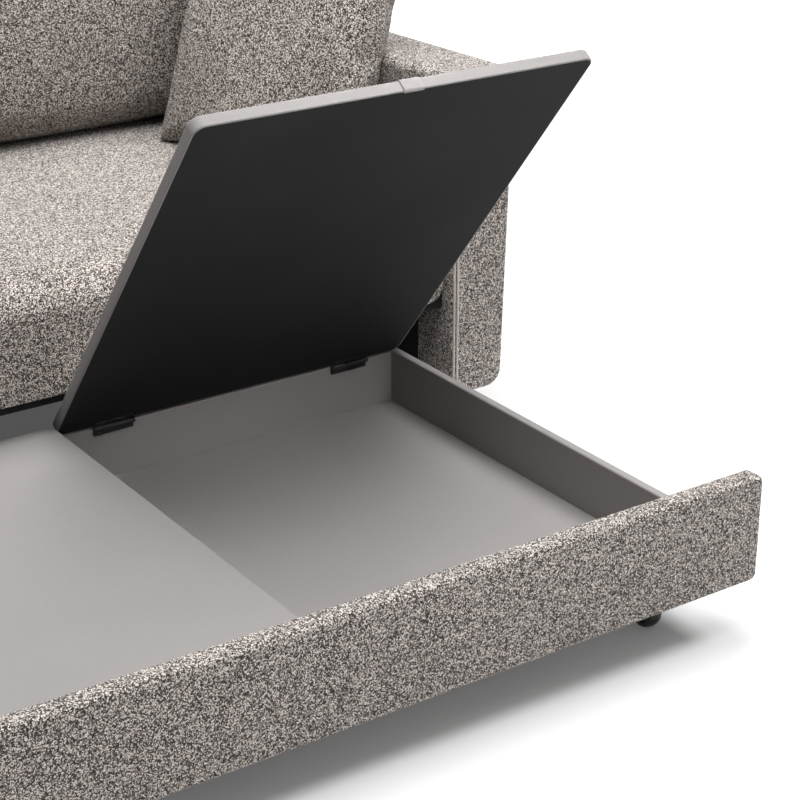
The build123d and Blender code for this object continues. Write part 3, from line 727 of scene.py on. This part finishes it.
@dataclass
class SofaArm:
    """An upholstered arm that flares out to its top, with a piped seam up its front."""

    side: Side
    foot_width: float = 110 * MM
    top_fall: float = 1.3
    low_inner: float = 10 * MM
    low_outer: float = 30 * MM
    top_outer: float = 16 * MM
    top_inner: float = 16 * MM
    end_round: float = 8 * MM
    seam_inset: float = 4.5 * MM
    seam_gap: float = 6.5 * MM
    seam_radius: float = 2.3 * MM
    seam_end: float = 14 * MM
    long_edge: float = 0.5
    spare: tuple[float, float, float] = (2 * MM, 4 * MM, 4 * MM)
    net: tuple[float, float, float] = (40 * MM, 28 * MM, 28 * MM)

    def block(self) -> Shape:
        """The right arm's plain form with its rounded edges."""
        low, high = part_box("arm_cover_right")
        out = low.x + self.foot_width
        corners = [
            Vector((low.x, low.y, low.z)), Vector((out, low.y, low.z)),
            Vector((high.x, low.y, high.z)), Vector((low.x, low.y, high.z)),
        ]
        shape = prism(corners, Vector((0, high.y - low.y, 0)))
        fall = (high.y - low.y) * math.tan(math.radians(self.top_fall))
        for vert in shape.verts:
            if near(vert.co.y, high.y) and near(vert.co.z, high.z):
                vert.co.z -= fall
        wanted = [
            (low.x, low.z, self.low_inner), (out, low.z, self.low_outer),
            (high.x, high.z, self.top_outer), (low.x, high.z, self.top_inner),
        ]
        for x, z, radius in wanted:
            edges = [
                edge for edge in edges_along(shape, 1, self.long_edge)
                if any(near(v.co.x, x) and near(v.co.z, z) for v in edge.verts)
            ]
            round_edges(shape, edges, radius, 6)
        round_edges(shape, rim(shape, 1, low.y), self.end_round, 4)
        round_edges(shape, rim(shape, 1, high.y), self.end_round, 4)
        return shape

    def seam(self, offset: float) -> Shape:
        """One ridge of the seam, up the right arm's front and over its upper edge, where it runs out.

        Args:
            offset: How far the ridge lies from the arm's inner face.

        Returns:
            The ridge's shape.
        """
        low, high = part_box("arm_cover_right")
        x = low.x + offset
        turn = self.end_round
        short = max(turn - offset, 0.0)
        lift = 0.6 * self.seam_radius - turn + math.sqrt(turn ** 2 - short ** 2)
        points = [Vector((x, low.y - lift, z)) for z in spaced(low.z, high.z - turn, 30)]
        reach = turn + lift
        for step in range(7):
            angle = math.radians(90 * step / 6)
            y = low.y + turn - reach * math.cos(angle)
            points.append(Vector((x, y, high.z - turn + reach * math.sin(angle))))
        for step in range(1, 6):
            share = step / 5
            sunk = (max(lift, 0.0) + 2 * self.seam_radius) * ease(share)
            points.append(Vector((x, low.y + turn + share * self.seam_end, high.z + lift - sunk)))
        return tube(points, self.seam_radius)

    def build(self) -> None:
        """Makes the arm and its seam."""
        low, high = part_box("arm_cover_right")
        spare = Vector(self.spare)
        stuffing = Stuffing(
            pressure=3.0, cap=3.5 * MM, frames=12,
            lowest=Vector((low.x, low.y - spare.y, low.z)), highest=high + spare,
        )
        body = stuffing.tauten(self.block(), Vector(self.net))
        ridges = [self.seam(self.seam_inset), self.seam(self.seam_inset + self.seam_gap)]
        if self.side is Side.LEFT:
            for shape in (body, *ridges):
                mirror(shape)
        word = self.side.word
        arm = add_piece(f"arm_upholstery_{word}", body, BOUCLE, "sofa", (f"arm_cover_{word}",))
        soften(arm)
        for number, ridge in enumerate(ridges, 1):
            add_piece(f"arm_seam_{word}_{number}", ridge, PIPING, "sofa")


@dataclass
class BenchSeat:
    """The long seat with a waterfall front that wraps down over the front rail."""

    nose: float = 62 * MM
    crown_start: float = 218 * MM
    crown_drop: float = 14 * MM
    end_round: float = 36 * MM
    lip_round: float = 4 * MM
    ripple: float = 1.6 * MM
    deck_gap: float = 2.1 * MM
    rail_gap: float = 0.3 * MM
    lip_depth: float = 9 * MM
    end_draw: float = 0.72

    def build(self) -> None:
        """Makes the seat from its section, then rounds its ends and eases its top."""
        low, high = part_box("bench_seat")
        rail_low, rail_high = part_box("seat_front_rail")
        deck = rail_high.z + self.deck_gap
        inner = rail_low.y - self.rail_gap
        half = high.x
        section = [
            (high.y, deck), (high.y, high.z), (low.y, high.z),
            (low.y, low.z), (inner, low.z), (inner, deck),
        ]
        shape = prism([Vector((-half, y, z)) for y, z in section], Vector((2 * half, 0, 0)))
        for z, radius, steps in ((high.z, self.nose, 12), (low.z, self.lip_round, 3)):
            round_edges(shape, edges_at(shape, low.y, z), radius, steps)
        slice_up(shape, 1, spaced(low.y + self.nose, high.y, 16))
        slice_up(shape, 2, spaced(low.z + self.lip_round, high.z - self.nose, 5))
        shares = (1.0, 0.85, 0.68, 0.5, 0.34, 0.2, 0.09, 0.02)
        ends = [half - share * self.end_round for share in shares]
        slice_up(shape, 0, ends + [-x for x in ends] + spaced(-ends[0], ends[0], 36))
        self.ease_form(shape, low, high)
        seat = add_piece("bench_seat_upholstery", shape, BOUCLE, "sofa", ("bench_seat",))
        soften(seat)

    def ease_form(self, shape: Shape, low: Vector, high: Vector) -> None:
        """Moves the seat's points: the crown towards the front, the drawn-in ends and soft ripples.

        Args:
            shape: The seat's shape.
            low: The seat's lowest corner.
            high: The seat's highest corner.
        """
        middle = (low.z + high.z) / 2
        for vert in shape.verts:
            place = vert.co
            upper = ease((place.z - middle) / (high.z - middle))
            forward = min(max((low.y + self.crown_start - place.y) / self.crown_start, 0.0), 1.0)
            drop = self.crown_drop * forward * forward * upper
            past = (abs(place.x) - (high.x - self.end_round)) / self.end_round
            draw = self.end_round * (1 - math.sqrt(max(0.0, 1 - max(past, 0.0) ** 2))) * self.end_draw
            on_lip = place.y < low.y + self.lip_depth
            lower = ease((middle - place.z) / (middle - low.z)) if on_lip else 0.0
            wave = noise.noise(Vector((place.x * 2.3, place.y * 3.1, 0.4))) - 0.6
            place.z += -drop - draw * upper + draw * lower + self.ripple * wave * upper


@dataclass
class BackCushion:
    """A loose back cushion, blown up as cloth from its drawn-in solid and pressed on seat and back."""

    side: Side
    press: float = 7 * MM
    sink: float = 20 * MM
    forward: float = 13 * MM

    def build(self) -> None:
        """Makes the right cushion, or its mirror image on the left."""
        low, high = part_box("back_cushion_right")
        stuffing = Stuffing(
            pressure=4.0, cap=22 * MM, frames=18, voxel=10 * MM, shrink=9 * MM,
            fit=(low - Vector((0, self.forward, self.sink)), high + Vector((0, self.press, 0))),
            lowest=low - Vector((0, self.forward, 0)), highest=high,
        )
        shape = stuffing.pad(shape_of(frame["nodes"]["back_cushion_right"]))
        if self.side is Side.LEFT:
            mirror(shape)
        word = self.side.word
        cushion = add_piece(
            f"back_cushion_soft_{word}", shape, BOUCLE, f"cushion_{word}",
            (f"back_cushion_{word}",),
        )
        soften(cushion)


@dataclass
class ThrowPillow:
    """A square pillow sewn from two sheets and blown up, leaning in the right corner."""

    cut: float = 462 * MM
    size: float = 450 * MM
    thick: float = 126 * MM
    seam: float = 6 * MM
    mesh_steps: int = 58
    turn: float = 66.0
    lean: float = 20.0
    shift: tuple[float, float, float] = (5 * MM, -7 * MM, 0.0)

    def sheets(self) -> Shape:
        """Two square sheets joined at their edges, standing in X and Z."""
        shape = bmesh.new()
        steps = self.mesh_steps
        bmesh.ops.create_grid(shape, x_segments=steps, y_segments=steps, size=self.cut / 2)
        bmesh.ops.solidify(shape, geom=shape.faces[:], thickness=self.seam)
        bmesh.ops.recalc_face_normals(shape, faces=shape.faces)
        upright = Matrix.Rotation(math.pi / 2, 3, "X")
        bmesh.ops.rotate(shape, verts=shape.verts, cent=(0, 0, 0), matrix=upright)
        return shape

    def build(self) -> None:
        """Makes the pillow, scales it to its size and sets it down where its solid stands."""
        stuffing = Stuffing(pressure=2.0, cap=1.0, frames=23)
        shape = stuffing.pad(self.sheets(), smoothing=1)
        spans = [
            max(v.co[axis] for v in shape.verts) - min(v.co[axis] for v in shape.verts) for axis in range(3)
        ]
        log.info("pillow blown up to %s", [round(span, 3) for span in spans])
        fit = (self.size / spans[0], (self.thick / spans[1]), self.size / spans[2])
        bmesh.ops.scale(shape, vec=fit, verts=shape.verts)
        turn = Matrix.Rotation(math.radians(-self.turn), 4, "Z")
        stand = turn @ Matrix.Rotation(math.radians(-self.lean), 4, "X")
        low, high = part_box("throw_pillow")
        middle = (low + high) / 2 + Vector(self.shift)
        bmesh.ops.transform(shape, matrix=Matrix.Translation(middle) @ stand, verts=shape.verts)
        drop = low.z - min(v.co.z for v in shape.verts)
        bmesh.ops.translate(shape, verts=shape.verts, vec=(0, 0, drop))
        pillow = add_piece("throw_pillow_soft", shape, BOUCLE, "pillow", ("throw_pillow",))
        soften(pillow)


@dataclass
class SofaBack:
    """The upholstered back behind the loose cushions."""

    edge_round: float = 16 * MM
    low_round: float = 5 * MM
    spare: tuple[float, float, float] = (0.0, 4 * MM, 4 * MM)
    net: tuple[float, float, float] = (45 * MM, 34 * MM, 38 * MM)

    def build(self) -> None:
        """Makes the back with rounded long edges."""
        low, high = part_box("back_cover")
        shape = slab(low, high, 0)
        edges = [
            edge for edge in shape.edges
            if all(near(v.co.z, high.z) for v in edge.verts) and near(edge.verts[0].co.y, edge.verts[1].co.y)
        ]
        round_edges(shape, edges, self.edge_round, 5)
        rest = [edge for edge in shape.edges if all(near(v.co.z, low.z) for v in edge.verts)]
        round_edges(shape, rest, self.low_round, 3)
        stuffing = Stuffing(
            pressure=3.0, cap=4 * MM, frames=12, lowest=low, highest=high + Vector(self.spare),
        )
        covered = stuffing.tauten(shape, Vector(self.net))
        back = add_piece("back_upholstery", covered, BOUCLE, "sofa", ("back_cover",))
        soften(back)


@dataclass
class DrawerFront:
    """The drawer's long upholstered front panel."""

    corner: float = 12 * MM
    front_round: float = 8 * MM
    back_round: float = 4 * MM
    rise: float = 2 * MM
    long_edge: float = 20 * MM
    side_spare: float = 2 * MM
    front_spare: float = 3 * MM
    net: tuple[float, float, float] = (26 * MM, 20 * MM, 21 * MM)

    def build(self) -> None:
        """Makes the panel with soft edges."""
        low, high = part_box("front_panel_cover")
        shape = slab(low, high + Vector((0, 0, self.rise)), 1)
        round_edges(shape, edges_along(shape, 1, self.long_edge), self.corner, 6)
        round_edges(shape, rim(shape, 1, low.y), self.front_round, 5)
        round_edges(shape, rim(shape, 1, high.y), self.back_round, 4)
        stuffing = Stuffing(
            pressure=3.0, cap=2.5 * MM, frames=12,
            lowest=low - Vector((self.side_spare, self.front_spare, 0)),
            highest=high + Vector((self.side_spare, 0, self.rise)),
        )
        covered = stuffing.tauten(shape, Vector(self.net))
        panel = add_piece(
            "front_panel_upholstery", covered, BOUCLE, "drawer", ("front_panel_cover",),
        )
        soften(panel)


class LidPlace(Enum):
    """The three lids, with their place along the drawer."""

    LEFT = -1
    CENTRE = 0
    RIGHT = 1

    @property
    def word(self) -> str:
        """The lid's name in node names."""
        return self.name.lower()


@dataclass
class StorageLid:
    """A storage lid: a thin padded cover, a webbing pull tab and the screws of its hinges."""

    place: LidPlace
    corner: float = 18 * MM
    top_round: float = 4 * MM
    low_round: float = 2 * MM
    hem: float = 2.5 * MM
    recess: float = 1.0 * MM
    tab_width: float = 33 * MM
    tab_shift: float = 10 * MM
    tab_thick: float = 1.6 * MM
    tab_top: float = 38 * MM
    tab_low: float = 3 * MM
    tab_clear: float = 0.2 * MM
    tab_edge: float = 0.4 * MM
    stitch_rows: tuple[float, float] = (5 * MM, 9 * MM)
    stitch_count: int = 8
    stitch_size: tuple[float, float, float] = (2.6 * MM, 0.7 * MM, 0.5 * MM)
    stitch_lift: float = 0.1 * MM
    stitch_round: float = 0.2 * MM
    hinge_offset: float = 223 * MM
    leaf_thick: float = 2 * MM
    screw_spread: float = 24 * MM
    screw_back: float = 8.6 * MM
    screw_radius: float = 2.3 * MM
    screw_sides: int = 14
    screw_rise: float = 0.5 * MM
    screw_rings: tuple[tuple[float, float], ...] = (
        (0.5 * MM, 0.2 * MM), (0.7 * MM, 0.0), (0.2 * MM, -0.8 * MM),
    )

    def closed_box(self) -> tuple[Vector, Vector]:
        """The lowest and highest corners of this lid's cover when it is shut."""
        low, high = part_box("lid_cover_centre")
        pitch = low.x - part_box("lid_cover_left")[0].x
        step = Vector((pitch * self.place.value, 0, 0))
        return low + step, high + step

    def swing(self, shape: Shape) -> None:
        """Swings a shape from the shut lid up to where this lid rests open."""
        joint = JOINTS[f"lid_{self.place.word}_hinge"]
        angle = math.radians(joint["range_deg"][0])
        turn = Matrix.Rotation(angle, 3, Vector((1, 0, 0)))
        bmesh.ops.rotate(shape, verts=shape.verts, cent=Vector(joint["pos_m"]), matrix=turn)

    def cover(self) -> Shape:
        """The grey cover, hollowed below for the backing sheet."""
        low, high = self.closed_box()
        shape = slab(low, high, 2)
        round_edges(shape, edges_along(shape, 2, (high.z - low.z) / 2), self.corner, 10)
        round_edges(shape, rim(shape, 2, high.z), self.top_round, 5)
        round_edges(shape, rim(shape, 2, low.z), self.low_round, 3)
        under = max(shape.faces, key=lambda face: face.calc_area() * (face.normal.z < -0.9))
        bmesh.ops.inset_region(shape, faces=[under], thickness=self.hem - self.low_round)
        pushed = bmesh.ops.extrude_face_region(shape, geom=[under])["geom"]
        bmesh.ops.translate(shape, verts=only_verts(pushed), vec=(0, 0, self.recess))
        bmesh.ops.delete(shape, geom=[under], context="FACES_ONLY")
        bmesh.ops.recalc_face_normals(shape, faces=shape.faces)
        return shape

    def tab(self) -> Shape:
        """The webbing tab folded round the lid's free edge."""
        low, high = self.closed_box()
        middle = (low.x + high.x) / 2 + self.tab_shift
        off = self.tab_clear + self.tab_thick
        top, under, front = high.z + off, low.z - off, low.y - off
        top_in, under_in, front_in = top - self.tab_thick, under + self.tab_thick, front + self.tab_thick
        top_end, low_end = low.y + self.tab_top, low.y + self.tab_low
        section = [
            (top_end, top_in), (top_end, top), (front, top), (front, under),
            (low_end, under), (low_end, under_in), (front_in, under_in), (front_in, top_in),
        ]
        start = middle - self.tab_width / 2
        shape = prism([Vector((start, y, z)) for y, z in section], Vector((self.tab_width, 0, 0)))
        for y, z, radius in (
            (front, top, self.top_round + off), (front, under, self.low_round + off),
            (front_in, top_in, self.top_round), (front_in, under_in, self.low_round),
        ):
            round_edges(shape, edges_at(shape, y, z), radius, 4)
        for place in (start, start + self.tab_width):
            round_edges(shape, rim(shape, 0, place), self.tab_edge, 2)
        bmesh.ops.recalc_face_normals(shape, faces=shape.faces)
        return shape

    def stitches(self) -> Shape:
        """Two rows of stitches across the tab's upper end."""
        low, high = self.closed_box()
        middle = (low.x + high.x) / 2 + self.tab_shift
        top = high.z + self.tab_clear + self.tab_thick + self.stitch_lift
        half = self.tab_width / 2
        shape = bmesh.new()
        for row in self.stitch_rows:
            for x in spaced(middle - half, middle + half, self.stitch_count):
                made = bmesh.ops.create_cube(shape, size=1.0)["verts"]
                bmesh.ops.scale(shape, vec=self.stitch_size, verts=made)
                bmesh.ops.translate(shape, vec=(x, low.y + self.tab_top - row, top), verts=made)
        round_edges(shape, shape.edges[:], self.stitch_round, 2)
        return shape

    def screw(self, shape: Shape, place: Vector, away: Vector) -> None:
        """Adds one countersunk screw head with a driver recess.

        Args:
            shape: The shape that it is added to.
            place: The middle of its seat.
            away: The way that it faces.
        """
        head = bmesh.ops.create_circle(
            shape, cap_ends=True, segments=self.screw_sides, radius=self.screw_radius,
        )["verts"]
        face = head[0].link_faces[0]
        bmesh.ops.recalc_face_normals(shape, faces=[face])
        if face.normal.z < 0:
            bmesh.ops.reverse_faces(shape, faces=[face])
        bmesh.ops.translate(shape, verts=head, vec=(0, 0, self.screw_rise))
        made = set(head)
        for thickness, depth in self.screw_rings:
            bmesh.ops.inset_region(shape, faces=[face], thickness=thickness, depth=depth)
            made.update(face.verts)
        turn = Vector((0, 0, 1)).rotation_difference(away).to_matrix()
        verts = list(made)
        bmesh.ops.rotate(shape, verts=verts, cent=(0, 0, 0), matrix=turn)
        bmesh.ops.translate(shape, verts=verts, vec=place)

    def screws(self, on_lid: bool) -> Shape:
        """The screws of both hinges, on the lid's leaves or on the wall's."""
        low, high = self.closed_box()
        pivot = Vector(JOINTS[f"lid_{self.place.word}_hinge"]["pos_m"])
        wall_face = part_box("drawer_rear_wall")[0].y - self.leaf_thick
        shape = bmesh.new()
        for sign in (-1, 1):
            for share in (-1, 0, 1):
                x = (low.x + high.x) / 2 + sign * self.hinge_offset + share * self.screw_spread
                if on_lid:
                    place = Vector((x, pivot.y - self.screw_back, low.z - self.leaf_thick))
                    self.screw(shape, place, Vector((0, 0, -1)))
                else:
                    place = Vector((x, wall_face, pivot.z - self.screw_back))
                    self.screw(shape, place, Vector((0, -1, 0)))
        return shape

    def build(self) -> None:
        """Makes the lid's pieces and dresses its solid ones."""
        word = self.place.word
        body = f"lid_{word}"
        open_at_rest = JOINTS[f"lid_{word}_hinge"]["range_deg"][0] < 0
        shapes = {
            "cover": (self.cover(), GREY_FABRIC, Slot.LID_FABRIC, (f"lid_cover_{word}",)),
            "tab": (self.tab(), WEBBING, Slot.WEBBING, (f"lid_pull_tab_{word}",)),
            "tab_stitches": (self.stitches(), STITCH, Slot.WEBBING, ()),
            "hinge_screws": (self.screws(True), BLACK_METAL, Slot.BLACK_METAL, ()),
        }
        for label, (shape, finish, slot, stands_for) in shapes.items():
            if open_at_rest:
                self.swing(shape)
            made = add_piece(f"lid_{label}_{word}", shape, finish, body, stands_for)
            if label == "cover":
                even_light(made)
        add_piece(f"wall_hinge_screws_{word}", self.screws(False), BLACK_METAL, "drawer")
        dress(f"lid_board_{word}", BOARD)
        dress(f"lid_backing_{word}", BACKING)
        dress(f"lid_hinge_leaves_{word}", BLACK_METAL)


@dataclass
class SolidDress:
    """Finishes for the solid nodes that are shown as they are."""

    looks: dict[str, Finish] = field(default_factory=dict)

    def build(self) -> None:
        """Lists each node's finish and gives it."""
        for name in ("floor", "wall_right", "wall_left", "rear_wall", "front_wall", "dividers"):
            self.looks[f"drawer_{name}"] = LINING
        for name in ("arm_linings", "seat_dust_cover", "seat_front_rail"):
            self.looks[name] = BACKING
        for name in (
            "front_panel_board", "arm_frame_right", "arm_frame_left", "seat_rear_rail", "seat_side_rails",
            "seat_cross_rails", "back_frame",
        ):
            self.looks[name] = BOARD
        for name in ("caster_forks", "hinge_wall_leaves", "hinge_pins"):
            self.looks[name] = BLACK_METAL
        for name in ("front_panel_bolts", "caster_axles", "frame_bolts", "foot_bolts"):
            self.looks[name] = STEEL
        for row in ("front", "rear"):
            for side in Side:
                self.looks[f"foot_{row}_{side.word}"] = FOOT_WOOD
                self.looks[f"caster_wheel_{row}_{side.word}"] = BLACK_PLASTIC
        self.looks["seat_webbing"] = WEBBING
        self.looks["foot_glides"] = GLIDE
        for node, finish in self.looks.items():
            dress(node, finish)


@dataclass(frozen=True)
class Lamp:
    """One soft square light, in metres, watts and degrees of spread."""

    name: str
    place: tuple[float, float, float]
    aim: tuple[float, float, float]
    size: float
    power: float
    spread: float = 180.0

    def build(self) -> None:
        """Hangs the light, out of the camera's sight."""
        lamp = bpy.data.lights.new(self.name, "AREA")
        lamp.shape = "SQUARE"
        lamp.size = self.size
        lamp.energy = self.power
        lamp.spread = math.radians(self.spread)
        obj = show(self.name, lamp)
        obj.location = self.place
        way = Vector(self.aim) - Vector(self.place)
        obj.rotation_euler = way.to_track_quat("-Z", "Y").to_euler()
        obj.visible_camera = False


LAMPS = (
    Lamp("key_above", (1.0, -0.4, 4.4), (0.5, -0.3, 0.0), 4.2, 430.0),
    Lamp("low_front", (1.5, -2.2, 1.9), (0.6, -0.3, 0.15), 1.6, 8.0),
    Lamp("drawer_fill", (0.7, -2.1, 2.5), (0.62, -0.22, 0.12), 0.4, 0.6, 20.0),
)


@dataclass
class Studio:
    """Pale floor, soft light from above and the camera."""

    eye: Vector = field(default_factory=lambda: Vector((-0.849, -2.71225, 1.482)))
    ahead: Vector = field(default_factory=lambda: Vector((0.5201, 0.7562, -0.3971)))
    lens: float = 90.54
    sensor: float = 36.0
    floor_size: float = 40.0
    floor_colour: Colour = (0.68, 0.68, 0.68)
    floor_roughness: float = 0.9
    floor_specular: float = 0.1
    sky: float = 0.10
    glow_start: float = 1.6
    glow_end: float = 5.0
    glow_least: float = 0.08
    glow_most: float = 0.95

    def floor(self) -> None:
        """A plain pale floor, which glows a little further out, where the light above falls off."""
        shape = bmesh.new()
        bmesh.ops.create_grid(shape, x_segments=1, y_segments=1, size=self.floor_size / 2)
        mesh = mesh_of("floor", shape)
        paint = bpy.data.materials.new("floor_pale")
        paint.use_nodes = True
        shader = paint.node_tree.nodes["Principled BSDF"]
        graph = Graph(paint.node_tree)
        place = graph.node("ShaderNodeTexCoord").outputs["Object"]
        away = graph.node("ShaderNodeVectorMath", {0: place}, operation="LENGTH").outputs["Value"]
        glow = graph.ramp(away, self.glow_start, self.glow_end, self.glow_least, self.glow_most)
        graph.feed(shader, {
            "Base Color": (*self.floor_colour, 1.0), "Roughness": self.floor_roughness,
            "Specular IOR Level": self.floor_specular, "Emission Color": glow, "Emission Strength": 1.0,
        })
        mesh.materials.append(paint)
        show("floor", mesh)

    def camera(self) -> None:
        """The camera at the photograph's viewpoint."""
        data = bpy.data.cameras.new("camera")
        data.lens = self.lens
        data.sensor_width = self.sensor
        obj = show("camera", data)
        obj.location = self.eye
        obj.rotation_euler = self.ahead.to_track_quat("-Z", "Y").to_euler()
        bpy.context.scene.camera = obj

    def build(self) -> None:
        """Sets up the floor, the lights and the camera."""
        scene = bpy.context.scene
        scene.view_settings.view_transform = "Standard"
        world = bpy.data.worlds.new("studio")
        world.use_nodes = True
        sky = world.node_tree.nodes["Background"]
        graph = Graph(world.node_tree)
        seen = graph.node("ShaderNodeLightPath").outputs["Is Camera Ray"]
        strength = graph.math("MAXIMUM", seen, self.sky)
        graph.feed(sky, {"Color": (1.0, 1.0, 1.0, 1.0), "Strength": strength})
        scene.world = world
        self.floor()
        for lamp in LAMPS:
            lamp.build()
        self.camera()


def main() -> None:
    """Builds the studio and every piece in order."""
    logging.basicConfig(level=logging.INFO, format="%(name)s: %(message)s")
    makers = [
        Studio(), SolidDress(), *(SofaArm(side) for side in Side), BenchSeat(), SofaBack(),
        *(BackCushion(side) for side in Side), ThrowPillow(), DrawerFront(),
        *(StorageLid(place) for place in LidPlace),
    ]
    for maker in makers:
        maker.build()


if __name__ == "__main__":
    main()
